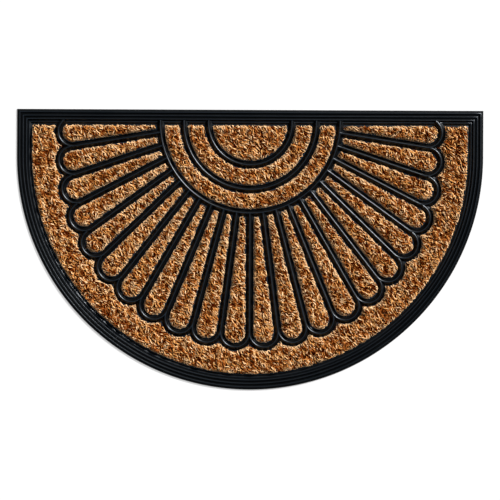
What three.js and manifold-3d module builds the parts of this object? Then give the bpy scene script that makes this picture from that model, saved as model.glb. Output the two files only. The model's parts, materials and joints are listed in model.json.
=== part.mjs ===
import * as THREE from "three";
import Module from "manifold-3d";

const wasm = await Module();
wasm.setup();

// A half-round doormat: one black rubber moulding with pockets, and a pad of coir pile in each pocket.
// Millimetres. It lies on its flat underside at z = 0, centred on x and y, its straight edge towards +Y.

// The mat as a whole
const matWidth = 762;
const matDepth = 457.2;
const backingThickness = 2.5;
const coirTop = 12;
const seatGap = 0.3;

// The moulded frame, from the outer edge inwards: three rounded ridges, each a little higher than the
// last, and a low lip beside the coir.
const frameWidth = 25;
const frameProfile = [
  { inset: 0, height: 1.8 },
  { inset: 1.9, height: 3.5 },
  { inset: 3.8, height: 4.7 },
  { inset: 4.7, height: 4.95 },
  { inset: 7.2, height: 2.5 },
  { inset: 9.5, height: 5.1 },
  { inset: 10.5, height: 5.65 },
  { inset: 12.9, height: 3.1 },
  { inset: 15.1, height: 5.8 },
  { inset: 16.1, height: 6.35 },
  { inset: 18.7, height: 2.9 },
  { inset: 20.1, height: 3.75 },
  { inset: 22.2, height: 2.8 },
];

// The moulded lines of the ornament: a low strip with a rounded bead along its middle.
const stripWidth = 11;
const stripHeight = 4.5;
const beadWidth = 6.5;
const crownWidth = 3.4;
const beadHeight = 9;

// The ornament: three half rings under the straight edge, and petals that fan out from the outer ring.
const rings = [
  { radius: 68, steps: 20 },
  { radius: 108, steps: 26 },
  { radius: 146.5, steps: 32 },
];
const ringCentreDepth = 22.2;
const petalCount = 22;
const ribAngleStep = THREE.MathUtils.degToRad(8.39);
const petalEndInset = 91.5;
const petalPitch = 47;
const beadEndDepth = 18;
const lobeSteps = 9;
const outlineSteps = 56;

// A coir pad's edge, drawn in from the pocket's wall as it rises.
const coirEdge = [
  { inset: 0, height: backingThickness + seatGap },
  { inset: 0, height: 10.2 },
  { inset: 1.8, height: coirTop },
];

const roundRadius = matWidth / 2;
const straightEdgeY = matDepth / 2;
const roundCentreY = roundRadius - matDepth / 2;
const ringCentre = new THREE.Vector2(0, straightEdgeY - ringCentreDepth);
const [innerRing, middleRing, outerRing] = rings;
const pocketOffset = stripWidth / 2 + seatGap;
const quarterTurn = Math.PI / 2;

// A pocket's walls as the coir meets them, carried on below its floor and above the pile.
const pocketLevels = [
  { inset: 0, height: 0 },
  coirEdge[1],
  { inset: 2 * coirEdge[2].inset, height: 2 * coirTop - coirEdge[1].height },
];

const rubber = new THREE.MeshStandardMaterial({ color: "#1d1d1f", roughness: 0.55, metalness: 0 });
const coir = new THREE.MeshStandardMaterial({ color: "#a8743f", roughness: 0.95, metalness: 0 });

function polar(centre, radius, angle) {
  return new THREE.Vector2(centre.x + radius * Math.cos(angle), centre.y + radius * Math.sin(angle));
}

function arc(centre, radius, from, to, steps) {
  const points = [];
  for (let i = 0; i <= steps; i++) {
    points.push(polar(centre, radius, from + ((to - from) * i) / steps));
  }
  return points;
}

// The mat's outline drawn in by inset: down one short side, round the half circle and up the other side.
function matOutline(inset) {
  const halfWidth = roundRadius - inset;
  const top = straightEdgeY - inset;
  const round = arc(new THREE.Vector2(0, roundCentreY), halfWidth, Math.PI, 2 * Math.PI, outlineSteps);
  return [new THREE.Vector2(-halfWidth, top), ...round, new THREE.Vector2(halfWidth, top)];
}

// A closed solid through equal loops of 3-D points, capped by the triangles of its section.
function loft(loops, section) {
  const count = section.length;
  const caps = THREE.ShapeUtils.triangulateShape(section, []);
  const triangles = [];
  for (const [a, b, c] of caps) {
    triangles.push([a, c, b]);
    const last = (loops.length - 1) * count;
    triangles.push([last + a, last + b, last + c]);
  }
  for (let row = 0; row + 1 < loops.length; row++) {
    for (let i = 0; i < count; i++) {
      const a = row * count + i;
      const b = row * count + ((i + 1) % count);
      triangles.push([a, b, b + count], [a, b + count, a + count]);
    }
  }
  return toSolid(loops.flat(), triangles);
}

function toSolid(points, triangles) {
  let volume = 0;
  for (const [a, b, c] of triangles) {
    volume += points[a].dot(points[b].clone().cross(points[c]));
  }
  const faces = volume > 0 ? triangles : triangles.map(([a, b, c]) => [a, c, b]);
  return new wasm.Manifold(new wasm.Mesh({
    numProp: 3,
    vertProperties: new Float32Array(points.flatMap((point) => point.toArray())),
    triVerts: new Uint32Array(faces.flat()),
  }));
}

// An upright solid whose outline changes with height; levels holds rows of inset and height.
function rise(outlineAt, levels) {
  const loops = levels.map(({ inset, height }) =>
    outlineAt(inset).map((point) => new THREE.Vector3(point.x, point.y, height)));
  return loft(loops, outlineAt(levels[0].inset));
}

// A solid that carries a section of across and up along stations of place and sideways direction.
function sweep(section, stations) {
  const loops = stations.map(({ place, side }) => section.map((corner) =>
    new THREE.Vector3(place.x + side.x * corner.x, place.y + side.y * corner.x, corner.y)));
  return loft(loops, section);
}

function joined(solids) {
  return solids.reduce((whole, solid) => whole.add(solid));
}

// The right half of a moulded line's section, from inside the backing sheet up to its bead's crown,
// and the whole section.
const halfBead = [
  new THREE.Vector2(stripWidth / 2, backingThickness / 2),
  new THREE.Vector2(stripWidth / 2, stripHeight),
  new THREE.Vector2(beadWidth / 2, stripHeight),
  new THREE.Vector2(crownWidth / 2, beadHeight),
];
const beadSection = [
  ...halfBead,
  ...halfBead.map((corner) => new THREE.Vector2(-corner.x, corner.y)).reverse(),
];

// Stations round a centre: each faces straight away from it.
function stationsAround(centre, points) {
  return points.map((place) => ({ place, side: place.clone().sub(centre).normalize() }));
}

// Stations along a half ring, with a short upright run at both ends up to the straight edge.
function ringStations({ radius, steps }) {
  const stations = stationsAround(ringCentre, arc(ringCentre, radius, Math.PI, 2 * Math.PI, steps));
  const first = { place: new THREE.Vector2(-radius, straightEdgeY), side: new THREE.Vector2(-1, 0) };
  const last = { place: new THREE.Vector2(radius, straightEdgeY), side: new THREE.Vector2(1, 0) };
  return [first, ...stations, last];
}

// A rib's centre line, counted from the mat's middle. Its inner end is on the outer ring, and its outer
// end is an even pitch along a curve that runs inside the mat's outline.
function ribLine(count) {
  const inner = polar(ringCentre, outerRing.radius, -quarterTurn + count * ribAngleStep);
  const radius = roundRadius - petalEndInset;
  const quarter = quarterTurn * radius;
  const along = count * petalPitch;
  const turn = THREE.MathUtils.clamp(along, -quarter, quarter) / radius;
  const outer = polar(new THREE.Vector2(0, roundCentreY), radius, -quarterTurn + turn);
  outer.y += Math.max(Math.abs(along) - quarter, 0);
  return { inner, outer, direction: outer.clone().sub(inner).normalize() };
}

// The petal between two neighbouring ribs. The circle that touches both ribs closes its outer end.
function petalAt(index) {
  const first = ribLine(index - petalCount / 2);
  const second = ribLine(index + 1 - petalCount / 2);
  const across = second.outer.clone().sub(first.outer);
  const crossing = first.direction.clone().cross(second.direction);
  const apex = first.outer.clone().addScaledVector(first.direction, across.cross(second.direction) / crossing);
  const axis = first.direction.clone().add(second.direction).normalize();
  const reach = first.outer.clone().add(second.outer).multiplyScalar(0.5).sub(apex).dot(axis);
  const halfAngle = Math.asin(Math.abs(crossing)) / 2;
  const axisAngle = Math.atan2(axis.y, axis.x);
  return {
    apex,
    centre: apex.clone().addScaledVector(axis, reach),
    radius: reach * Math.sin(halfAngle),
    from: axisAngle - quarterTurn - halfAngle,
    to: axisAngle + quarterTurn + halfAngle,
  };
}

// The petal's outline, moved out from the ribs' centre lines by outset, or in where it is negative.
function petalOutline(petal, outset) {
  const { from, to } = petal;
  const end = arc(petal.centre, petal.radius + outset, from, to, lobeSteps);
  const innerRadius = outerRing.radius - outset;
  const second = ringCrossing(polar(petal.apex, outset, to), to - quarterTurn, innerRadius);
  const first = ringCrossing(polar(petal.apex, outset, from), from + quarterTurn, innerRadius);
  return [...end, second, first];
}

// The point where a line from anchor, along an angle, leaves a circle about the rings' centre.
function ringCrossing(anchor, angle, radius) {
  const way = new THREE.Vector2(Math.cos(angle), Math.sin(angle));
  const offset = anchor.clone().sub(ringCentre);
  const along = offset.dot(way);
  return anchor.clone().addScaledVector(way, Math.sqrt(along ** 2 - offset.lengthSq() + radius ** 2) - along);
}

// A half circle about the rings' centre with short upright ends, moved out from the bead's centre line.
function halfRound(ring, outset) {
  const radius = ring.radius + outset;
  const round = arc(ringCentre, radius, Math.PI, 2 * Math.PI, ring.steps);
  return [new THREE.Vector2(-radius, straightEdgeY), ...round, new THREE.Vector2(radius, straightEdgeY)];
}

const group = new THREE.Group();

function addMesh(name, solid, material) {
  const { numProp, vertProperties, triVerts } = solid.getMesh();
  const geometry = new THREE.BufferGeometry();
  geometry.setAttribute("position", new THREE.BufferAttribute(vertProperties, numProp));
  geometry.setIndex(new THREE.BufferAttribute(triVerts, 1));
  geometry.computeVertexNormals();
  const mesh = new THREE.Mesh(geometry, material);
  mesh.name = name;
  group.add(mesh);
}

const petals = Array.from({ length: petalCount }, (_, index) => petalAt(index));

// The rubber moulding: the backing sheet with its frame, and the lines of the ornament standing on it.
const frameLevels = [
  { inset: 0, height: 0 },
  ...frameProfile,
  { inset: frameWidth - seatGap, height: backingThickness },
];
const backing = rise(matOutline, frameLevels);

const ringBeads = rings.map((ring) => sweep(beadSection, ringStations(ring)));

const ribBeads = [];
for (let count = 1 - petalCount / 2; count < petalCount / 2; count++) {
  const { inner, outer, direction } = ribLine(count);
  const side = new THREE.Vector2(-direction.y, direction.x);
  ribBeads.push(sweep(beadSection, [inner, outer].map((place) => ({ place, side }))));
}

const lobeBeads = petals.map(({ centre, radius, from, to }) =>
  sweep(beadSection, stationsAround(centre, arc(centre, radius, from, to, lobeSteps))));

// The lines end on the frame's ridges, which also cut off the first and the last petal.
const lineField = rise(() => matOutline(beadEndDepth), [
  { inset: 0, height: 0 },
  { inset: 0, height: beadHeight + 1 },
]);
const lines = joined([...ringBeads, ...ribBeads, ...lobeBeads]).intersect(lineField);
addMesh("rubber_moulding", backing.add(lines), rubber);

// The coir field is everything inside the frame. Each pad is the field within its own pocket's walls.
const field = rise((inset) => matOutline(frameWidth + inset), coirEdge);

function padWithin(outlineAt) {
  return field.intersect(rise(outlineAt, pocketLevels));
}

petals.forEach((petal, index) => {
  const pad = padWithin((inset) => petalOutline(petal, -pocketOffset - inset));
  addMesh(`coir_petal_${String(index + 1).padStart(2, "0")}`, pad, coir);
});

const halfDisc = padWithin((inset) => halfRound(innerRing, -pocketOffset - inset));
addMesh("coir_half_disc", halfDisc, coir);

function bandWithin(inside, outside) {
  return padWithin((inset) => [
    ...halfRound(outside, -pocketOffset - inset),
    ...halfRound(inside, pocketOffset + inset).reverse(),
  ]);
}
addMesh("coir_inner_band", bandWithin(innerRing, middleRing), coir);
addMesh("coir_outer_band", bandWithin(middleRing, outerRing), coir);

// The border pad is what the petals and the rings leave of the field.
const ornament = joined([
  rise((inset) => halfRound(outerRing, inset), pocketLevels),
  ...petals.map((petal) => rise((inset) => petalOutline(petal, pocketOffset + inset), pocketLevels)),
]);
addMesh("coir_border", field.subtract(ornament), coir);

export default group;
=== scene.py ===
import json
import math
import random
import bmesh
import bpy
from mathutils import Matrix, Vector

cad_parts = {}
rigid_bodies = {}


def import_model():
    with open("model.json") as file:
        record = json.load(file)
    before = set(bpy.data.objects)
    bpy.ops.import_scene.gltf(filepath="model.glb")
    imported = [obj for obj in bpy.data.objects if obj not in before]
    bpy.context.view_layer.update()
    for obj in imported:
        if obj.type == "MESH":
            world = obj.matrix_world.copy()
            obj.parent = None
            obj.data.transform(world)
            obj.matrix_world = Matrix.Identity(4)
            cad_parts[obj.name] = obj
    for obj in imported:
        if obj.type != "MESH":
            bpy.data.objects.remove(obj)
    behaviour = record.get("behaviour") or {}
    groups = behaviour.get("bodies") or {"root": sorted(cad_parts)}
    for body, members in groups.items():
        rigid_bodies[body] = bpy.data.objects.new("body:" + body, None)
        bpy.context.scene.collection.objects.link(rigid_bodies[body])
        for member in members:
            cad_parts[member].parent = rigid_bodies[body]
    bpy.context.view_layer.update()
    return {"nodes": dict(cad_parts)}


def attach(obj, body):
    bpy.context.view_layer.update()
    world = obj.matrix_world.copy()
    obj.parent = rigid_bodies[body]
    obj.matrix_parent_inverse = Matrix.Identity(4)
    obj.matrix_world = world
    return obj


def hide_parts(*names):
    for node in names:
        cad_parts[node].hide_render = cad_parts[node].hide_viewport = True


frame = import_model()
mm = 0.001
print("frame loaded:", len(frame["nodes"]), "nodes")

# The photograph looks straight down on the mat, turned a quarter of a degree in its plane. Lengths are in
# millimetres.
photoView = {
    "pixels": 500,
    "millimetresPerPixel": 1.634,
    "centreX": 0.6,
    "centreY": -0.4,
    "planeHeight": 2,
    "roll": 0.26,
    "lens": 100,
    "sensor": 36,
    "nearest": 10,
}

cameraData = bpy.data.cameras.new("camera")
cameraData.lens = photoView["lens"]
cameraData.sensor_width = photoView["sensor"]
cameraData.clip_start = photoView["nearest"] * mm
camera = bpy.data.objects.new("camera", cameraData)
bpy.context.scene.collection.objects.link(camera)
fieldWidth = photoView["pixels"] * photoView["millimetresPerPixel"]
cameraDistance = fieldWidth * photoView["lens"] / photoView["sensor"]
camera.location = (
    photoView["centreX"] * mm,
    photoView["centreY"] * mm,
    (photoView["planeHeight"] + cameraDistance) * mm,
)
camera.rotation_euler = (0, 0, math.radians(photoView["roll"]))
bpy.context.scene.camera = camera
print("camera placed")


def addNode(tree, kind, links=None, **settings):
    node = tree.nodes.new(kind)
    for name, value in settings.items():
        setattr(node, name, value)
    for socket, source in (links or {}).items():
        if isinstance(source, bpy.types.NodeSocket):
            tree.links.new(source, node.inputs[socket])
        else:
            node.inputs[socket].default_value = source
    return node


def linear(hexColour):
    channels = [int(hexColour[i:i + 2], 16) / 255 for i in (1, 3, 5)]
    return [c / 12.92 if c <= 0.04045 else ((c + 0.055) / 1.055) ** 2.4 for c in channels] + [1]


def newMaterial(name):
    material = bpy.data.materials.new(name)
    material.use_nodes = True
    material.node_tree.nodes.clear()
    return material, material.node_tree


# Moulded black rubber: a satin skin from the mould, a little cool in its gloss, with broad patches of thin
# dust and a fine grain, which is drawn coarse enough to show. Sizes are in millimetres.
mouldedRubber = {
    "deepest": "#030405",
    "dusty": "#060708",
    "sheen": "#f0f6fc",
    "roughness": (0.27, 0.37),
    "specular": 0.37,
    "patchSize": 38,
    "patchSpread": (0.35, 0.7),
    "grainSize": 1.6,
    "grainSpread": (0.3, 0.7),
    "grainStrength": 0.25,
    "grainDepth": 0.05,
}


def makeRubberMaterial():
    material, tree = newMaterial("mouldedRubber")
    place = addNode(tree, "ShaderNodeTexCoord").outputs["Object"]
    patches = addNode(tree, "ShaderNodeTexNoise", {
        "Vector": place, "Scale": 1 / (mouldedRubber["patchSize"] * mm), "Detail": 4.0,
    }).outputs["Fac"]
    grain = addNode(tree, "ShaderNodeTexNoise", {
        "Vector": place, "Scale": 1 / (mouldedRubber["grainSize"] * mm), "Detail": 3.0,
    }).outputs["Fac"]
    fewest, most = mouldedRubber["patchSpread"]
    spread = addNode(tree, "ShaderNodeMapRange", {
        "Value": patches, "From Min": fewest, "From Max": most,
    }).outputs["Result"]
    colour = addNode(tree, "ShaderNodeMix", {
        0: spread, 6: linear(mouldedRubber["deepest"]), 7: linear(mouldedRubber["dusty"]),
    }, data_type="RGBA")
    finest, coarsest = mouldedRubber["grainSpread"]
    smoothest, roughest = mouldedRubber["roughness"]
    roughness = addNode(tree, "ShaderNodeMapRange", {
        "Value": grain, "From Min": finest, "From Max": coarsest, "To Min": smoothest, "To Max": roughest,
    }).outputs["Result"]
    bump = addNode(tree, "ShaderNodeBump", {
        "Height": grain, "Strength": mouldedRubber["grainStrength"],
        "Distance": mouldedRubber["grainDepth"] * mm,
    }).outputs["Normal"]
    skin = addNode(tree, "ShaderNodeBsdfPrincipled", {
        "Base Color": colour.outputs[2], "Roughness": roughness, "Normal": bump,
        "Specular IOR Level": mouldedRubber["specular"], "IOR": 1.5,
        "Specular Tint": linear(mouldedRubber["sheen"]),
    })
    addNode(tree, "ShaderNodeOutputMaterial", {"Surface": skin.outputs[0]})
    return material


# The mat's plan, in millimetres and degrees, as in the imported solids. Depths count down from the straight
# edge.
matPlan = {
    "width": 762,
    "depth": 457.2,
    "outlineSteps": 160,
    "ringRadii": (68, 108, 146.5),
    "ringCentreDepth": 22.2,
    "petalCount": 22,
    "ribAngle": 8.39,
    "petalEndInset": 91.5,
    "petalPitch": 47,
    "lineEndDepth": 18,
    "stepLength": 3,
    "leastSteps": 6,
    "ribStep": 8,
    "sideSteps": 10,
    "topSteps": 80,
}
roundRadius = matPlan["width"] / 2
straightEdge = matPlan["depth"] / 2
roundCentre = Vector((0, roundRadius - straightEdge))
ringCentre = Vector((0, straightEdge - matPlan["ringCentreDepth"]))
lineEnd = straightEdge - matPlan["lineEndDepth"]
quarter = math.pi / 2


def polar(centre, radius, angle):
    return centre + radius * Vector((math.cos(angle), math.sin(angle)))


def arcPoints(centre, radius, start, stop, steps=None):
    along = abs(stop - start) * radius
    steps = steps or max(matPlan["leastSteps"], round(along / matPlan["stepLength"]))
    return [polar(centre, radius, start + (stop - start) * i / steps) for i in range(steps + 1)]


def linePoints(start, stop, steps):
    return [start.lerp(stop, i / steps) for i in range(steps + 1)]


def outlineAt(inset):
    radius = roundRadius - inset
    left = Vector((-radius, straightEdge - inset))
    right = Vector((radius, straightEdge - inset))
    bow = arcPoints(roundCentre, radius, math.pi, 2 * math.pi, matPlan["outlineSteps"])
    down = linePoints(left, bow[0], matPlan["sideSteps"])
    up = linePoints(bow[-1], right, matPlan["sideSteps"])
    across = linePoints(right, left, matPlan["topSteps"])
    return down[:-1] + bow[:-1] + up[:-1] + across[:-1]


def ribLine(count):
    turn = math.radians(count * matPlan["ribAngle"])
    inner = polar(ringCentre, matPlan["ringRadii"][-1], -quarter + turn)
    radius = roundRadius - matPlan["petalEndInset"]
    along = count * matPlan["petalPitch"]
    bow = max(-quarter * radius, min(quarter * radius, along))
    outer = polar(roundCentre, radius, -quarter + bow / radius)
    outer.y += abs(along) - abs(bow)
    return inner, outer


def crossOf(a, b):
    return a.x * b.y - a.y * b.x


def lobePath(index):
    firstInner, firstOuter = ribLine(index - matPlan["petalCount"] // 2)
    secondInner, secondOuter = ribLine(index + 1 - matPlan["petalCount"] // 2)
    first = (firstOuter - firstInner).normalized()
    second = (secondOuter - secondInner).normalized()
    turn = crossOf(first, second)
    apex = firstOuter + first * crossOf(secondOuter - firstOuter, second) / turn
    axis = (first + second).normalized()
    reach = ((firstOuter + secondOuter) / 2 - apex).dot(axis)
    halfAngle = math.asin(abs(turn)) / 2
    centre = apex + axis * reach
    radius = reach * math.sin(halfAngle)
    facing = math.atan2(axis.y, axis.x)
    stop = math.asin(min(1, (lineEnd - centre.y) / radius))
    start = max(facing - quarter - halfAngle, -math.pi - stop)
    return arcPoints(centre, radius, start, min(facing + quarter + halfAngle, stop))


def ringPath(radius):
    bow = arcPoints(ringCentre, radius, math.pi, 2 * math.pi)
    return [Vector((-radius, lineEnd)), *bow, Vector((radius, lineEnd))]


# The moulded lines: a low strip with a round bead along its middle, in millimetres.
mouldedLine = {
    "Strip Width": 12.2,
    "Strip Height": 4.5,
    "Strip Edge": 2.55,
    "Bead Width": 6.5,
    "Bead Height": 9,
    "Bead Steps": 13,
    "Bead Sharpness": 1.5,
    "Base Height": 1.2,
}


def newGeometryTree(name, sizeNames, others):
    # Each size is an input of the tree: a whole number where it counts steps or seeds a draw.
    tree = bpy.data.node_groups.new(name, "GeometryNodeTree")
    kinds = {"Geometry": "Geometry"}
    for sizeName in sizeNames:
        kinds[sizeName] = "Int" if sizeName.endswith(("Seed", "Steps")) else "Float"
    for socket, kind in {**kinds, **others}.items():
        tree.interface.new_socket(socket, in_out="INPUT", socket_type="NodeSocket" + kind)
    tree.interface.new_socket("Geometry", in_out="OUTPUT", socket_type="NodeSocketGeometry")
    return tree, addNode(tree, "NodeGroupInput").outputs


def lineSection(tree, sizes):
    # The bead's points stand in the middle, and two corners of the strip at either end.
    points = addNode(tree, "ShaderNodeMath", {0: sizes["Bead Steps"], 1: 4.0}, operation="ADD").outputs[0]
    line = addNode(tree, "GeometryNodeMeshLine", {"Count": points}).outputs[0]
    section = addNode(tree, "GeometryNodeMeshToCurve", {"Mesh": line}).outputs[0]
    index = addNode(tree, "GeometryNodeInputIndex").outputs[0]
    last = addNode(tree, "ShaderNodeMath", {0: sizes["Bead Steps"], 1: 1.0}, operation="ADD").outputs[0]
    angle = addNode(tree, "ShaderNodeMapRange", {
        "Value": index, "From Min": 2.0, "From Max": last, "To Min": 0.0, "To Max": math.pi,
    }).outputs["Result"]
    halfBead = addNode(tree, "ShaderNodeMath", {
        0: sizes["Bead Width"], 1: -0.5,
    }, operation="MULTIPLY").outputs[0]
    cosine = addNode(tree, "ShaderNodeMath", {0: angle}, operation="COSINE").outputs[0]
    sine = addNode(tree, "ShaderNodeMath", {0: angle}, operation="SINE").outputs[0]
    beadAcross = addNode(tree, "ShaderNodeMath", {0: cosine, 1: halfBead}, operation="MULTIPLY").outputs[0]
    rounded = addNode(tree, "ShaderNodeMath", {
        0: sine, 1: sizes["Bead Sharpness"],
    }, operation="POWER").outputs[0]
    rise = addNode(tree, "ShaderNodeMath", {
        0: sizes["Bead Height"], 1: sizes["Strip Height"],
    }, operation="SUBTRACT").outputs[0]
    beadUp = addNode(tree, "ShaderNodeMath", {
        0: rounded, 1: rise, 2: sizes["Strip Height"],
    }, operation="MULTIPLY_ADD").outputs[0]
    # The strip's corners are told apart by how many points they stand from the nearer end.
    middle = addNode(tree, "ShaderNodeMath", {
        0: sizes["Bead Steps"], 1: 0.5, 2: 1.5,
    }, operation="MULTIPLY_ADD").outputs[0]
    offMiddle = addNode(tree, "ShaderNodeMath", {0: index, 1: middle}, operation="SUBTRACT").outputs[0]
    fromMiddle = addNode(tree, "ShaderNodeMath", {0: offMiddle}, operation="ABSOLUTE").outputs[0]
    fromEnd = addNode(tree, "ShaderNodeMath", {0: middle, 1: fromMiddle}, operation="SUBTRACT").outputs[0]
    isStrip = addNode(tree, "ShaderNodeMath", {0: fromEnd, 1: 1.5}, operation="LESS_THAN").outputs[0]
    isBase = addNode(tree, "ShaderNodeMath", {0: fromEnd, 1: 0.5}, operation="LESS_THAN").outputs[0]
    side = addNode(tree, "ShaderNodeMath", {0: offMiddle}, operation="SIGN").outputs[0]
    halfStrip = addNode(tree, "ShaderNodeMath", {
        0: sizes["Strip Width"], 1: 0.5,
    }, operation="MULTIPLY").outputs[0]
    stripAcross = addNode(tree, "ShaderNodeMath", {0: side, 1: halfStrip}, operation="MULTIPLY").outputs[0]
    stripUp = addNode(tree, "ShaderNodeMix", {
        "Factor": isBase, "A": sizes["Strip Edge"], "B": sizes["Base Height"],
    }).outputs[0]
    across = addNode(tree, "ShaderNodeMix", {
        "Factor": isStrip, "A": beadAcross, "B": stripAcross,
    }).outputs[0]
    up = addNode(tree, "ShaderNodeMix", {"Factor": isStrip, "A": beadUp, "B": stripUp}).outputs[0]
    acrossMetres = addNode(tree, "ShaderNodeMath", {0: across, 1: mm}, operation="MULTIPLY").outputs[0]
    upMetres = addNode(tree, "ShaderNodeMath", {0: up, 1: -mm}, operation="MULTIPLY").outputs[0]
    corner = addNode(tree, "ShaderNodeCombineXYZ", {"X": acrossMetres, "Y": upMetres}).outputs[0]
    shaped = addNode(tree, "GeometryNodeSetPosition", {"Geometry": section, "Position": corner}).outputs[0]
    return addNode(tree, "GeometryNodeSetSplineCyclic", {"Geometry": shaped, "Cyclic": True}).outputs[0]


def makeLineTree():
    tree, sizes = newGeometryTree("mouldedLine", mouldedLine, {"Rubber": "Material"})
    level = addNode(tree, "GeometryNodeSetCurveNormal", {
        "Curve": sizes["Geometry"],
    }, mode="Z_UP").outputs[0]
    swept = addNode(tree, "GeometryNodeCurveToMesh", {
        "Curve": level, "Profile Curve": lineSection(tree, sizes), "Fill Caps": True,
    }).outputs[0]
    real = addNode(tree, "GeometryNodeRealizeInstances", {"Geometry": swept}).outputs[0]
    coated = addNode(tree, "GeometryNodeSetMaterial", {
        "Geometry": real, "Material": sizes["Rubber"],
    }).outputs[0]
    addNode(tree, "NodeGroupOutput", {"Geometry": coated})
    return tree


def finishedMesh(thing, step):
    bpy.context.view_layer.update()
    shown = thing.evaluated_get(bpy.context.evaluated_depsgraph_get())
    mesh = bpy.data.meshes.new_from_object(shown)
    thing.modifiers.remove(step)
    return mesh


def bakeNodes(thing, tree, inputs):
    step = thing.modifiers.new(tree.name, "NODES")
    step.node_group = tree
    for item in tree.interface.items_tree:
        if item.in_out == "INPUT" and item.name in inputs:
            step[item.identifier] = inputs[item.name]
    return finishedMesh(thing, step)


def linkNew(name, data, collection=None):
    thing = bpy.data.objects.new(name, data)
    (collection or bpy.context.scene.collection).objects.link(thing)
    return thing


def newCollection(name):
    collection = bpy.data.collections.new(name)
    bpy.context.scene.collection.children.link(collection)
    return collection


def clearAway(collection):
    for thing in list(collection.objects):
        bpy.data.objects.remove(thing)
    bpy.data.collections.remove(collection)


def curveThrough(points):
    data = bpy.data.curves.new("line", "CURVE")
    data.dimensions = "3D"
    spline = data.splines.new("POLY")
    spline.points.add(len(points) - 1)
    for knot, point in zip(spline.points, points):
        knot.co = (point.x * mm, point.y * mm, 0, 1)
    return linkNew("line", data)


mergeWithin = 0.001  # millimetres


def outwardFaces(mesh):
    work = bmesh.new()
    work.from_mesh(mesh)
    bmesh.ops.remove_doubles(work, verts=work.verts, dist=mergeWithin * mm)
    bmesh.ops.recalc_face_normals(work, faces=work.faces)
    work.to_mesh(mesh)
    work.free()


# The backing sheet and its frame: rows of how far in from the edge, and how high, in millimetres.
# A ridge's shape is given from its crest. Edges that turn by more than sharpFrom degrees stay sharp.
mouldedFrame = {
    "edge": ((0, 0), (0, 1.8), (0.4, 2.5), (1.9, 3.5), (3.4, 4.35)),
    "ridges": ((4.7, 4.95), (10.5, 5.65), (16.1, 6.35)),
    "ridgeShape": ((-3.1, -2.9), (-1, -0.5), (-0.6, -0.17), (0, 0),
                   (0.6, -0.17), (0.9, -0.45), (2.3, -2.5)),
    "lip": ((18.8, 2.9), (19.5, 3.5), (20.1, 3.75), (20.8, 3.6), (22, 2.9),
            (23.6, 1.9), (24.5, 1.6), (25.4, 1.9), (26.4, 2.5)),
    "stepsPerSpan": 3,
    "sharpFrom": 35,
}


def roundedProfile(rows, steps):
    # A smooth curve through the rows: at each row it runs along the line between the row's neighbours.
    knots = [Vector(row) for row in rows]
    knots = [knots[0] * 2 - knots[1], *knots, knots[-1] * 2 - knots[-2]]
    points = []
    for a, b, c, d in zip(knots, knots[1:], knots[2:], knots[3:]):
        for i in range(steps):
            t = i / steps
            points.append(0.5 * (2 * b + (c - a) * t + (2 * a - 5 * b + 4 * c - d) * t ** 2
                                 + (3 * b - a - 3 * c + d) * t ** 3))
    return points + [knots[-2]]


def makeFrameMesh():
    # The bevel at the top of the wall takes the place of the first ridge's outer flank.
    wall, bevel = mouldedFrame["edge"][:3], mouldedFrame["edge"][2:]
    ridges = [(inset + across, height + up) for inset, height in mouldedFrame["ridges"]
              for across, up in mouldedFrame["ridgeShape"]]
    rounded = (*bevel, *ridges[2:], *mouldedFrame["lip"])
    profile = [Vector(row) for row in wall] + roundedProfile(rounded, mouldedFrame["stepsPerSpan"])[1:]
    work = bmesh.new()
    rows = []
    for inset, height in profile:
        rows.append([work.verts.new((p.x * mm, p.y * mm, height * mm)) for p in outlineAt(inset)])
    work.faces.new(rows[0])
    work.faces.new(rows[-1])
    for lower, upper in zip(rows, rows[1:]):
        for i in range(len(lower)):
            work.faces.new((lower[i - 1], lower[i], upper[i], upper[i - 1]))
    mesh = bpy.data.meshes.new("frame")
    work.to_mesh(mesh)
    work.free()
    return mesh


rubberMaterial = makeRubberMaterial()
lineTree = makeLineTree()
lines = newCollection("lines")
ribCounts = range(1 - matPlan["petalCount"] // 2, matPlan["petalCount"] // 2)
paths = [ringPath(radius) for radius in matPlan["ringRadii"]]
for count in ribCounts:
    inner, outer = ribLine(count)
    paths.append(linePoints(inner, outer, round((outer - inner).length / matPlan["ribStep"])))
paths += [lobePath(index) for index in range(matPlan["petalCount"])]
for path in paths:
    curve = curveThrough(path)
    lineMesh = bakeNodes(curve, lineTree, {**mouldedLine, "Rubber": rubberMaterial})
    outwardFaces(lineMesh)
    linkNew("line", lineMesh, lines)
    bpy.data.objects.remove(curve)
print("moulded lines:", len(paths))

rubber = linkNew("rubberMoulding", makeFrameMesh())
outwardFaces(rubber.data)
rubber.data.materials.append(rubberMaterial)
weld = rubber.modifiers.new("weld", "BOOLEAN")
weld.operation = "UNION"
weld.solver = "MANIFOLD"
weld.operand_type = "COLLECTION"
weld.collection = lines
rubber.data = finishedMesh(rubber, weld)
clearAway(lines)
for face in rubber.data.polygons:
    face.use_smooth = True
rubber.data.set_sharp_from_angle(angle=math.radians(mouldedFrame["sharpFrom"]))
print("rubber faces:", len(rubber.data.polygons))
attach(rubber, "root")
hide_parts("rubber_moulding")

# Coir: coconut husk fibre in a curled, matted pile, dull all over. The matted depth is painted near black,
# painted shade for the gaps under the strands; the strands over it run from reddish brown to pale straw,
# each with specks along it.
coirFibre = {
    "shades": ((0, "#3a0e00"), (0.3, "#713510"), (0.55, "#a3622c"), (0.8, "#c79154"), (1, "#d6ae82")),
    # Painted shade: the matted depth under the strands is painted near black.
    "depthPaintedShades": ((0.3, "#0a0100"), (0.7, "#2c0a00")),
    "speckSize": 1.2,
    "speckGain": 0.3,
    "speckLevel": 0.15,
    "speckStrength": 0.5,
    "speckDepth": 0.5,
    "roughness": 0.8,
}


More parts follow.
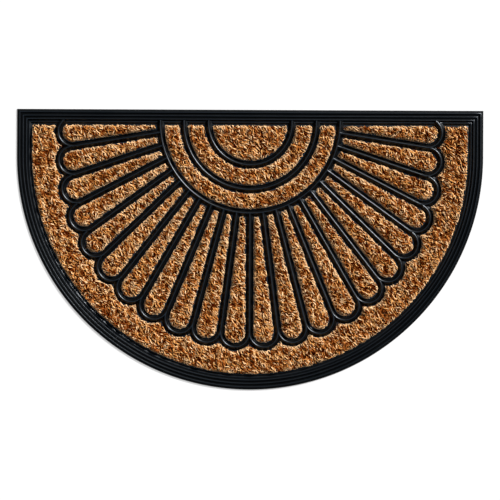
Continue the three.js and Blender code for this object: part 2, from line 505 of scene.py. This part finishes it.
def makeCoirMaterial(name, isStrand):
    material, tree = newMaterial(name)
    place = addNode(tree, "ShaderNodeTexCoord").outputs["Object"]
    speck = addNode(tree, "ShaderNodeTexNoise", {
        "Vector": place, "Scale": 1 / (coirFibre["speckSize"] * mm), "Detail": 3.0,
    }).outputs["Fac"]
    # Off the strands the speck noise runs through the depth's painted shade.
    shade = speck
    stops = coirFibre["depthPaintedShades"]
    if isStrand:
        own = addNode(tree, "ShaderNodeAttribute", attribute_name="strandShade").outputs["Fac"]
        shade = addNode(tree, "ShaderNodeMath", {
            0: speck, 1: coirFibre["speckGain"], 2: own,
        }, operation="MULTIPLY_ADD").outputs[0]
        shade = addNode(tree, "ShaderNodeMath", {
            0: shade, 1: coirFibre["speckLevel"],
        }, operation="SUBTRACT").outputs[0]
        stops = coirFibre["shades"]
    ramp = addNode(tree, "ShaderNodeValToRGB", {"Fac": shade})
    while len(ramp.color_ramp.elements) < len(stops):
        ramp.color_ramp.elements.new(0.5)
    for element, (position, colour) in zip(ramp.color_ramp.elements, stops):
        element.position = position
        element.color = linear(colour)
    bump = addNode(tree, "ShaderNodeBump", {
        "Height": speck, "Strength": coirFibre["speckStrength"], "Distance": coirFibre["speckDepth"] * mm,
    }).outputs[0]
    skin = addNode(tree, "ShaderNodeBsdfPrincipled", {
        "Base Color": ramp.outputs[0], "Roughness": coirFibre["roughness"], "Normal": bump,
        "Specular IOR Level": 0.0,
    })
    addNode(tree, "ShaderNodeOutputMaterial", {"Surface": skin.outputs[0]})
    return material


# Strands, in millimetres and degrees, with the wave and the spin in radians: each is a closed spindle of
# three sides with a bend and a slight wave. Its ends are rooted under the pile and its middle stands over
# it. Real ones are at most a third as thick, which wouldn't show.
coirStrand = {
    "kinds": 12,
    "seed": 11,
    "length": (7, 11),
    "thickness": (0.9, 1.35),
    "bend": (20, 120),
    "curlyFrom": 70,
    "wave": (-0.5, 0.5),
    "spin": (0, 2),
    "sides": 3,
    "crest": (0.5, 3.3),
    "root": -2,
    "straightSteps": 3,
    "curlySteps": 4,
}


def makeStrands():
    draw = random.Random(coirStrand["seed"])
    strands = newCollection("strands")
    curly = math.radians(coirStrand["curlyFrom"])
    sides = coirStrand["sides"]
    for kind in range(coirStrand["kinds"]):
        length = draw.uniform(*coirStrand["length"])
        radius = draw.uniform(*coirStrand["thickness"]) / 2
        bend = math.radians(draw.uniform(*coirStrand["bend"]))
        steps = coirStrand["curlySteps"] if bend > curly else coirStrand["straightSteps"]
        crest = draw.uniform(*coirStrand["crest"])
        wave = draw.uniform(*coirStrand["wave"])
        path = [Vector((0, 0, 0))]
        for i in range(steps):
            heading = bend * ((i + 0.5) / steps - 0.5) + wave * math.sin(2 * math.pi * (i + 0.5) / steps)
            path.append(path[-1] + Vector((math.cos(heading), math.sin(heading), 0)) * length / steps)
        middle = sum(path, Vector()) / len(path)
        work = bmesh.new()
        rings = []
        for i, point in enumerate(path):
            lift = coirStrand["root"] + (crest - coirStrand["root"]) * math.sin(math.pi * i / steps)
            centre = (point - middle + Vector((0, 0, lift))) * mm
            if i in (0, steps):
                rings.append([work.verts.new(centre)] * sides)
                continue
            along = (path[i + 1] - path[i - 1]).normalized()
            side = Vector((-along.y, along.x, 0))
            spin = draw.uniform(*coirStrand["spin"])
            ring = []
            for j in range(sides):
                angle = spin + 2 * math.pi * j / sides
                outward = side * math.cos(angle) + Vector((0, 0, math.sin(angle)))
                ring.append(work.verts.new(centre + radius * mm * outward))
            rings.append(ring)
        for lower, upper in zip(rings, rings[1:]):
            for j in range(sides):
                corners = (lower[j - 1], lower[j], upper[j], upper[j - 1])
                work.faces.new(dict.fromkeys(corners))
        bmesh.ops.recalc_face_normals(work, faces=work.faces)
        mesh = bpy.data.meshes.new("strand")
        work.to_mesh(mesh)
        work.free()
        linkNew("strand", mesh, strands)
    return strands


# The pile over each pad, in millimetres and degrees. Its low tufts stand in two sets of slanting rows,
# counted from one tuft. Strands per Area is how many would stand on a square millimetre before those
# closer than Strand Spacing are thinned out. How far a face looks up runs from -1 to 1: it is part of a
# wall within Wall Slope of 0, its strands begin at Bare Below and are all there at Full Above, and they
# turn paler from Pale Above down to Pale Below, partly for the paler cut ends and partly as a painted
# highlight on the pad's rim. Shades and paleness are places along the fibre's shades.
coirPile = {
    "Side Inset": 0.75,
    "Foot": 2.8,
    "Crown": 12,
    "Wall Slope": 0.5,
    "Edge Drop": 3.6,
    "Edge Width": 6.2,
    "Edge Roundness": 2,
    "Tuft X": 15.3,
    "Tuft Y": -1.9,
    "First Row Pitch": 20.96,
    "First Row Angle": 54.9,
    "Second Row Pitch": 19.92,
    "Second Row Angle": -55.7,
    "Tuft Height": 0.85,
    "Tuft Level": -0.7,
    # Painted shade from the tufts: strands a trace darker in the hollows and paler on the tufts.
    "Tuft Painted Shade": 0.012,
    "Sink": 1.8,
    "Lump Size": 4.2,
    "Lump Height": 1.2,
    "Lay Angle": -45,
    "Lay Stretch": 2,
    "Strands per Area": 0.6,
    "Strand Spacing": 1.8,
    "Bare Below": -0.3,
    "Full Above": 0.15,
    "Comb Size": 10,
    "Comb Swing": 50,
    "Comb Spread": 40,
    "Clump Size": 3.2,
    "Darkest Clump": 0.45,
    "Palest Clump": 0.54,
    "Shade Spread": 0.56,
    "Smallest": 0.6,
    "Largest": 1.5,
    "Side Reach": 0.45,
    "Top Reach": 1.8,
    # How much paler the rim is: partly the paler cut ends, partly a painted highlight.
    "Edge Paleness And Painted Highlight": 1,
    "Pale Above": 0.95,
    "Pale Below": 0.3,
    "Scatter Seed": 3,
    "Shade Seed": 21,
    "Comb Seed": 22,
    "Kind Seed": 23,
    "Bulk Seed": 24,
}
noiseSpan = (0.3, 0.7)  # a noise hardly leaves this range


def tuftWaves(tree, sizes, millimetres):
    # Low tufts stand in two sets of slanting rows: one wave across each set, and one across both.
    tuft = addNode(tree, "ShaderNodeCombineXYZ", {"X": sizes["Tuft X"], "Y": sizes["Tuft Y"]}).outputs[0]
    fromTuft = addNode(tree, "ShaderNodeVectorMath", {
        0: millimetres, 1: tuft,
    }, operation="SUBTRACT").outputs[0]
    phases = []
    for rows in ("First Row", "Second Row"):
        turn = addNode(tree, "ShaderNodeMath", {0: sizes[rows + " Angle"]}, operation="RADIANS").outputs[0]
        turn = addNode(tree, "ShaderNodeMath", {0: turn, 1: -1.0}, operation="MULTIPLY").outputs[0]
        turned = addNode(tree, "ShaderNodeVectorRotate", {
            "Vector": fromTuft, "Angle": turn,
        }, rotation_type="Z_AXIS").outputs[0]
        across = addNode(tree, "ShaderNodeSeparateXYZ", {0: turned}).outputs["X"]
        across = addNode(tree, "ShaderNodeMath", {
            0: across, 1: sizes[rows + " Pitch"],
        }, operation="DIVIDE").outputs[0]
        phase = addNode(tree, "ShaderNodeMath", {
            0: across, 1: 2 * math.pi,
        }, operation="MULTIPLY").outputs[0]
        phases.append(phase)
    phases.append(addNode(tree, "ShaderNodeMath", {0: phases[0], 1: phases[1]}, operation="ADD").outputs[0])
    tufts = 0.0
    for phase in phases:
        wave = addNode(tree, "ShaderNodeMath", {0: phase}, operation="COSINE").outputs[0]
        tufts = addNode(tree, "ShaderNodeMath", {0: wave, 1: tufts}, operation="ADD").outputs[0]
    return tufts


def edgeDrop(tree, sizes, place, normal):
    # The top is rounded off toward the nearest wall.
    up = addNode(tree, "ShaderNodeSeparateXYZ", {0: normal}).outputs["Z"]
    isWall = addNode(tree, "FunctionNodeCompare", {
        0: up, 1: 0.0, "Epsilon": sizes["Wall Slope"],
    }, operation="EQUAL").outputs[0]
    walls = addNode(tree, "GeometryNodeSeparateGeometry", {
        "Geometry": sizes["Geometry"], "Selection": isWall,
    }, domain="FACE").outputs[0]
    wall = addNode(tree, "GeometryNodeProximity", {
        "Geometry": walls,
    }, target_element="FACES").outputs["Position"]
    toWall = addNode(tree, "ShaderNodeVectorMath", {0: place, 1: wall}, operation="SUBTRACT").outputs[0]
    toWall = addNode(tree, "ShaderNodeVectorMath", {
        0: toWall, 1: (1 / mm, 1 / mm, 0.0),
    }, operation="MULTIPLY").outputs[0]
    toWall = addNode(tree, "ShaderNodeVectorMath", {0: toWall}, operation="LENGTH").outputs["Value"]
    drop = addNode(tree, "ShaderNodeMapRange", {
        "Value": toWall, "From Max": sizes["Edge Width"], "To Min": 1.0, "To Max": 0.0,
    }).outputs["Result"]
    drop = addNode(tree, "ShaderNodeMath", {
        0: drop, 1: sizes["Edge Roundness"],
    }, operation="POWER").outputs[0]
    return addNode(tree, "ShaderNodeMath", {0: drop, 1: sizes["Edge Drop"]}, operation="MULTIPLY").outputs[0]


def pileSkin(tree, sizes, place, normal, millimetres, tufts):
    # The skin stands a little clear of the rubber on every side. What its top is lowered or raised by
    # fades out down the walls.
    inset = addNode(tree, "ShaderNodeMath", {
        0: sizes["Side Inset"], 1: -mm,
    }, operation="MULTIPLY").outputs[0]
    inward = addNode(tree, "ShaderNodeCombineXYZ", {"X": inset, "Y": inset}).outputs[0]
    inward = addNode(tree, "ShaderNodeVectorMath", {0: normal, 1: inward}, operation="MULTIPLY").outputs[0]
    rise = addNode(tree, "ShaderNodeMath", {
        0: tufts, 1: sizes["Tuft Height"], 2: sizes["Tuft Level"],
    }, operation="MULTIPLY_ADD").outputs[0]
    drop = edgeDrop(tree, sizes, place, normal)
    drop = addNode(tree, "ShaderNodeMath", {0: drop, 1: rise}, operation="SUBTRACT").outputs[0]
    height = addNode(tree, "ShaderNodeSeparateXYZ", {0: millimetres}).outputs["Z"]
    height = addNode(tree, "ShaderNodeMapRange", {
        "Value": height, "From Min": sizes["Foot"], "From Max": sizes["Crown"],
    }).outputs["Result"]
    drop = addNode(tree, "ShaderNodeMath", {0: drop, 1: height}, operation="MULTIPLY").outputs[0]
    drop = addNode(tree, "ShaderNodeMath", {0: drop, 1: -mm}, operation="MULTIPLY").outputs[0]
    drop = addNode(tree, "ShaderNodeCombineXYZ", {"Z": drop}).outputs[0]
    offset = addNode(tree, "ShaderNodeVectorMath", {0: inward, 1: drop}, operation="ADD").outputs[0]
    return addNode(tree, "GeometryNodeSetPosition", {
        "Geometry": sizes["Geometry"], "Offset": offset,
    }).outputs[0]


def softNoise(tree, place, size, detail):
    # A noise whose patches are about as wide as the size, in the same unit as the place.
    scale = addNode(tree, "ShaderNodeMath", {0: 1.0, 1: size}, operation="DIVIDE").outputs[0]
    return addNode(tree, "ShaderNodeTexNoise", {
        "Vector": place, "Scale": scale, "Detail": detail,
    }).outputs["Fac"]


def mattedBody(tree, sizes, skin, normal, millimetres):
    # The body is sunk under the skin, with lumps drawn out along the lay of the strands.
    lay = addNode(tree, "ShaderNodeMath", {0: sizes["Lay Angle"]}, operation="RADIANS").outputs[0]
    unlay = addNode(tree, "ShaderNodeMath", {0: lay, 1: -1.0}, operation="MULTIPLY").outputs[0]
    level = addNode(tree, "ShaderNodeVectorRotate", {
        "Vector": millimetres, "Angle": unlay,
    }, rotation_type="Z_AXIS").outputs[0]
    squeeze = addNode(tree, "ShaderNodeMath", {
        0: 1.0, 1: sizes["Lay Stretch"],
    }, operation="DIVIDE").outputs[0]
    squeeze = addNode(tree, "ShaderNodeCombineXYZ", {"X": squeeze, "Y": 1.0, "Z": 1.0}).outputs[0]
    combed = addNode(tree, "ShaderNodeVectorMath", {0: level, 1: squeeze}, operation="MULTIPLY").outputs[0]
    lumps = softNoise(tree, combed, sizes["Lump Size"], 2.0)
    lumps = addNode(tree, "ShaderNodeMath", {0: lumps, 1: 0.5}, operation="SUBTRACT").outputs[0]
    lift = addNode(tree, "ShaderNodeMath", {
        0: lumps, 1: sizes["Lump Height"],
    }, operation="MULTIPLY").outputs[0]
    lift = addNode(tree, "ShaderNodeMath", {0: lift, 1: sizes["Sink"]}, operation="SUBTRACT").outputs[0]
    lift = addNode(tree, "ShaderNodeMath", {0: lift, 1: mm}, operation="MULTIPLY").outputs[0]
    offset = addNode(tree, "ShaderNodeVectorMath", {0: normal, "Scale": lift}, operation="SCALE").outputs[0]
    return addNode(tree, "GeometryNodeSetPosition", {"Geometry": skin, "Offset": offset}).outputs[0]


def strandRoots(tree, sizes, body, normal):
    # Strands stand on the top and, more thinly, on the sides.
    up = addNode(tree, "ShaderNodeSeparateXYZ", {0: normal}).outputs["Z"]
    share = addNode(tree, "ShaderNodeMapRange", {
        "Value": up, "From Min": sizes["Bare Below"], "From Max": sizes["Full Above"],
    }).outputs["Result"]
    density = addNode(tree, "ShaderNodeMath", {
        0: sizes["Strands per Area"], 1: 1 / mm ** 2,
    }, operation="MULTIPLY").outputs[0]
    spacing = addNode(tree, "ShaderNodeMath", {
        0: sizes["Strand Spacing"], 1: mm,
    }, operation="MULTIPLY").outputs[0]
    return addNode(tree, "GeometryNodeDistributePointsOnFaces", {
        "Mesh": body, "Distance Min": spacing, "Density Max": density, "Density Factor": share,
        "Seed": sizes["Scatter Seed"],
    }, distribute_method="POISSON").outputs


def spreadAround(tree, spread, seed):
    # A random number from minus the spread to the spread.
    least = addNode(tree, "ShaderNodeMath", {0: spread, 1: -1.0}, operation="MULTIPLY").outputs[0]
    return addNode(tree, "FunctionNodeRandomValue", {2: least, 3: spread, "Seed": seed}).outputs[1]


def strandShade(tree, sizes, roots, millimetres, tufts):
    # A strand's shade is partly its own and partly that of the clump it lies in. Toward the pad's rim it is
    # paler, partly the paler cut ends and partly a painted highlight, and the tufts add painted shade: a
    # trace darker in the hollows between them and paler on them.
    clump = addNode(tree, "ShaderNodeMapRange", {
        "Value": softNoise(tree, millimetres, sizes["Clump Size"], 1.0),
        "From Min": noiseSpan[0], "From Max": noiseSpan[1],
        "To Min": sizes["Darkest Clump"], "To Max": sizes["Palest Clump"],
    }).outputs["Result"]
    own = spreadAround(tree, sizes["Shade Spread"], sizes["Shade Seed"])
    shade = addNode(tree, "ShaderNodeMath", {0: clump, 1: own}, operation="ADD").outputs[0]
    facingUp = addNode(tree, "ShaderNodeSeparateXYZ", {0: roots["Normal"]}).outputs["Z"]
    # Paler toward the rim: partly the paler cut ends, partly a painted highlight on the pad's rim.
    edge = addNode(tree, "ShaderNodeMapRange", {
        "Value": facingUp, "From Min": sizes["Pale Above"], "From Max": sizes["Pale Below"],
        "To Max": sizes["Edge Paleness And Painted Highlight"],
    }).outputs["Result"]
    shade = addNode(tree, "ShaderNodeMath", {0: shade, 1: edge}, operation="ADD").outputs[0]
    # Painted shade from the tufts: darker in the hollows, paler on the tufts.
    return addNode(tree, "ShaderNodeMath", {
        0: tufts, 1: sizes["Tuft Painted Shade"], 2: shade,
    }, operation="MULTIPLY_ADD").outputs[0]


def strandStance(tree, sizes, roots, millimetres):
    # Strands lie roughly along the lay: a slow noise turns neighbours alike, and each strays on its own.
    most = addNode(tree, "ShaderNodeMath", {
        0: sizes["Comb Swing"], 1: 0.5,
    }, operation="MULTIPLY").outputs[0]
    least = addNode(tree, "ShaderNodeMath", {0: most, 1: -1.0}, operation="MULTIPLY").outputs[0]
    turn = addNode(tree, "ShaderNodeMapRange", {
        "Value": softNoise(tree, millimetres, sizes["Comb Size"], 1.0),
        "From Min": noiseSpan[0], "From Max": noiseSpan[1], "To Min": least, "To Max": most,
    }).outputs["Result"]
    stray = spreadAround(tree, sizes["Comb Spread"], sizes["Comb Seed"])
    turn = addNode(tree, "ShaderNodeMath", {0: turn, 1: stray}, operation="ADD").outputs[0]
    turn = addNode(tree, "ShaderNodeMath", {0: turn, 1: sizes["Lay Angle"]}, operation="ADD").outputs[0]
    turn = addNode(tree, "ShaderNodeMath", {0: turn}, operation="RADIANS").outputs[0]
    spin = addNode(tree, "ShaderNodeCombineXYZ", {"Z": turn}).outputs[0]
    upright = addNode(tree, "FunctionNodeAlignRotationToVector", {
        "Vector": roots["Normal"],
    }, axis="Z").outputs[0]
    return addNode(tree, "FunctionNodeRotateRotation", {
        "Rotation": upright, "Rotate By": spin,
    }, rotation_space="LOCAL").outputs[0]


def pressedIn(tree, sizes, strands, skin, place):
    # What strays too far from the skin is drawn back to it, more tightly sideways than up or down.
    near = addNode(tree, "GeometryNodeProximity", {
        "Geometry": skin,
    }, target_element="FACES").outputs["Position"]
    away = addNode(tree, "ShaderNodeVectorMath", {0: place, 1: near}, operation="SUBTRACT").outputs[0]
    parts = addNode(tree, "ShaderNodeSeparateXYZ", {0: away}).outputs
    plan = addNode(tree, "ShaderNodeCombineXYZ", {"X": parts["X"], "Y": parts["Y"]}).outputs[0]
    farness = addNode(tree, "ShaderNodeVectorMath", {0: plan}, operation="LENGTH").outputs["Value"]
    sideReach = addNode(tree, "ShaderNodeMath", {
        0: sizes["Side Reach"], 1: mm,
    }, operation="MULTIPLY").outputs[0]
    keep = addNode(tree, "ShaderNodeMath", {0: sideReach, 1: farness}, operation="DIVIDE").outputs[0]
    keep = addNode(tree, "ShaderNodeMath", {0: keep, 1: 1.0}, operation="MINIMUM").outputs[0]
    plan = addNode(tree, "ShaderNodeVectorMath", {0: plan, "Scale": keep}, operation="SCALE").outputs[0]
    topReach = addNode(tree, "ShaderNodeMath", {
        0: sizes["Top Reach"], 1: mm,
    }, operation="MULTIPLY").outputs[0]
    rise = addNode(tree, "ShaderNodeMath", {0: parts["Z"], 1: topReach}, operation="MINIMUM").outputs[0]
    depth = addNode(tree, "ShaderNodeMath", {0: topReach, 1: -1.0}, operation="MULTIPLY").outputs[0]
    rise = addNode(tree, "ShaderNodeMath", {0: rise, 1: depth}, operation="MAXIMUM").outputs[0]
    rise = addNode(tree, "ShaderNodeCombineXYZ", {"Z": rise}).outputs[0]
    pressed = addNode(tree, "ShaderNodeVectorMath", {0: near, 1: plan}, operation="ADD").outputs[0]
    pressed = addNode(tree, "ShaderNodeVectorMath", {0: pressed, 1: rise}, operation="ADD").outputs[0]
    return addNode(tree, "GeometryNodeSetPosition", {"Geometry": strands, "Position": pressed}).outputs[0]


def makePileTree():
    tree, sizes = newGeometryTree("coirPile", coirPile, {
        "Strands": "Collection", "Depth": "Material", "Fibre": "Material",
    })
    place = addNode(tree, "GeometryNodeInputPosition").outputs[0]
    normal = addNode(tree, "GeometryNodeInputNormal").outputs[0]
    millimetres = addNode(tree, "ShaderNodeVectorMath", {
        0: place, "Scale": 1 / mm,
    }, operation="SCALE").outputs[0]
    tufts = tuftWaves(tree, sizes, millimetres)
    skin = pileSkin(tree, sizes, place, normal, millimetres, tufts)
    body = mattedBody(tree, sizes, skin, normal, millimetres)
    roots = strandRoots(tree, sizes, body, normal)
    points = addNode(tree, "GeometryNodeStoreNamedAttribute", {
        "Geometry": roots["Points"], "Name": "strandShade",
        "Value": strandShade(tree, sizes, roots, millimetres, tufts),
    }, domain="POINT", data_type="FLOAT").outputs[0]
    kind = addNode(tree, "FunctionNodeRandomValue", {
        4: 0, 5: coirStrand["kinds"] - 1, "Seed": sizes["Kind Seed"],
    }, data_type="INT").outputs[2]
    bulk = addNode(tree, "FunctionNodeRandomValue", {
        2: sizes["Smallest"], 3: sizes["Largest"], "Seed": sizes["Bulk Seed"],
    }).outputs[1]
    shapes = addNode(tree, "GeometryNodeCollectionInfo", {
        "Collection": sizes["Strands"], "Separate Children": True, "Reset Children": True,
    }).outputs[0]
    placed = addNode(tree, "GeometryNodeInstanceOnPoints", {
        "Points": points, "Instance": shapes, "Pick Instance": True, "Instance Index": kind,
        "Rotation": strandStance(tree, sizes, roots, millimetres), "Scale": bulk,
    }).outputs[0]
    real = addNode(tree, "GeometryNodeRealizeInstances", {"Geometry": placed}).outputs[0]
    strands = addNode(tree, "GeometryNodeSetMaterial", {
        "Geometry": pressedIn(tree, sizes, real, skin, place), "Material": sizes["Fibre"],
    }).outputs[0]
    # The matted body carries painted shade: near black where the gaps between strands fall in shade.
    paintedShadeBody = addNode(tree, "GeometryNodeSetMaterial", {
        "Geometry": body, "Material": sizes["Depth"],
    }).outputs[0]
    both = addNode(tree, "GeometryNodeJoinGeometry").inputs[0]
    tree.links.new(paintedShadeBody, both)
    tree.links.new(strands, both)
    addNode(tree, "NodeGroupOutput", {"Geometry": both.node.outputs[0]})
    return tree


padVoxel = 2.2  # millimetres


def padBody(node):
    # The pad is remeshed to an even skin.
    mesh = node.data.copy()
    outwardFaces(mesh)
    pad = linkNew("pad", mesh)
    skin = pad.modifiers.new("skin", "REMESH")
    skin.mode = "VOXEL"
    skin.voxel_size = padVoxel * mm
    return pad


def makePile(nodeName, place):
    pad = padBody(frame["nodes"][nodeName])
    mesh = bakeNodes(pad, pileTree, {
        **coirPile, "Scatter Seed": coirPile["Scatter Seed"] + place, "Strands": strandShapes,
        "Depth": paintedShadeDepthMaterial, "Fibre": fibreMaterial,
    })
    bpy.data.objects.remove(pad)
    pile = linkNew(nodeName.replace("coir_", "pile_"), mesh)
    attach(pile, "root")
    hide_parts(nodeName)
    print(pile.name, "faces:", len(mesh.polygons))


# The depth material is painted shade for the gaps deep in the pile.
paintedShadeDepthMaterial = makeCoirMaterial("mattedCoirPaintedShade", False)
fibreMaterial = makeCoirMaterial("coirFibre", True)
strandShapes = makeStrands()
pileTree = makePileTree()
padNames = sorted(name for name in frame["nodes"] if name.startswith("coir"))
for place, nodeName in enumerate(padNames):
    makePile(nodeName, place)
clearAway(strandShapes)

# A pale floor a little under the mat, a sky of soft white light, and one softbox on the upper right.
# Lengths are in metres but for the gap under the mat, which is in millimetres, and angles in degrees. A
# spread says how high in the sky, from -1 to 1, a light sets in and where it is full.
studio = {
    "floorSide": 60,
    "floorBelow": 0.2,
    "floorColour": "#959595",
    "floorRoughness": 0.9,
    "floorSpecular": 0.1,
    "glowColour": "#ffffff",
    "floorGlow": 0.5,
    "skyColour": "#f6f6f6",
    "skyStrength": (0.06, 0.9),
    "glossColour": "#b4d2f2",
    "glossStrength": (0.02, 1.9),
    "skySpread": (0.8, 1),
    "glossSpread": (0.86, 1),
    "sunStrength": 8.7,
    "sunSoftness": 18,
    "sunHeight": 36,
    "sunBearing": 44,
    "backdrop": "#ffffff",
}
floorMaterial, floorTree = newMaterial("paleFloor")
floorSkin = addNode(floorTree, "ShaderNodeBsdfPrincipled", {
    "Base Color": linear(studio["floorColour"]), "Roughness": studio["floorRoughness"],
    "Specular IOR Level": studio["floorSpecular"],
    "Emission Color": linear(studio["glowColour"]), "Emission Strength": studio["floorGlow"],
})
addNode(floorTree, "ShaderNodeOutputMaterial", {"Surface": floorSkin.outputs[0]})
half = studio["floorSide"] / 2
corners = [(-half, -half, 0), (half, -half, 0), (half, half, 0), (-half, half, 0)]
floorMesh = bpy.data.meshes.new("floor")
floorMesh.from_pydata(corners, [], [(0, 1, 2, 3)])
floorMesh.materials.append(floorMaterial)
floor = linkNew("floor", floorMesh)
floor.location.z = -studio["floorBelow"] * mm

sunData = bpy.data.lights.new("softbox", "SUN")
sunData.energy = studio["sunStrength"]
sunData.angle = math.radians(studio["sunSoftness"])
sun = linkNew("softbox", sunData)
sun.rotation_euler = (0, math.radians(90 - studio["sunHeight"]), math.radians(studio["sunBearing"]))

world = bpy.data.worlds.new("studioSky")
world.use_nodes = True
world.node_tree.nodes.clear()
skyHeading = addNode(world.node_tree, "ShaderNodeTexCoord").outputs["Generated"]
skyHeight = addNode(world.node_tree, "ShaderNodeSeparateXYZ", {0: skyHeading}).outputs["Z"]
skyLights = []
for kind in ("sky", "gloss"):
    low, high = studio[kind + "Strength"]
    strength = addNode(world.node_tree, "ShaderNodeMapRange", {
        "Value": skyHeight, "From Min": studio[kind + "Spread"][0], "From Max": studio[kind + "Spread"][1],
        "To Min": low, "To Max": high,
    }, interpolation_type="SMOOTHSTEP").outputs["Result"]
    skyLights.append(addNode(world.node_tree, "ShaderNodeBackground", {
        "Color": linear(studio[kind + "Colour"]), "Strength": strength,
    }).outputs[0])
# What the gloss of the rubber mirrors is a cooler, brighter panel than the one that lights the coir,
# and what the camera sees beyond the floor is a plain white backdrop.
lightPath = addNode(world.node_tree, "ShaderNodeLightPath").outputs
backdrop = addNode(world.node_tree, "ShaderNodeBackground", {
    "Color": linear(studio["backdrop"]),
}).outputs[0]
sky = addNode(world.node_tree, "ShaderNodeMixShader", {
    0: lightPath["Is Glossy Ray"], 1: skyLights[0], 2: skyLights[1],
}).outputs[0]
seen = addNode(world.node_tree, "ShaderNodeMixShader", {0: lightPath["Is Camera Ray"], 1: sky, 2: backdrop})
addNode(world.node_tree, "ShaderNodeOutputWorld", {"Surface": seen.outputs[0]})
bpy.context.scene.world = world
bpy.context.scene.view_settings.view_transform = "Standard"
print("studio lit")
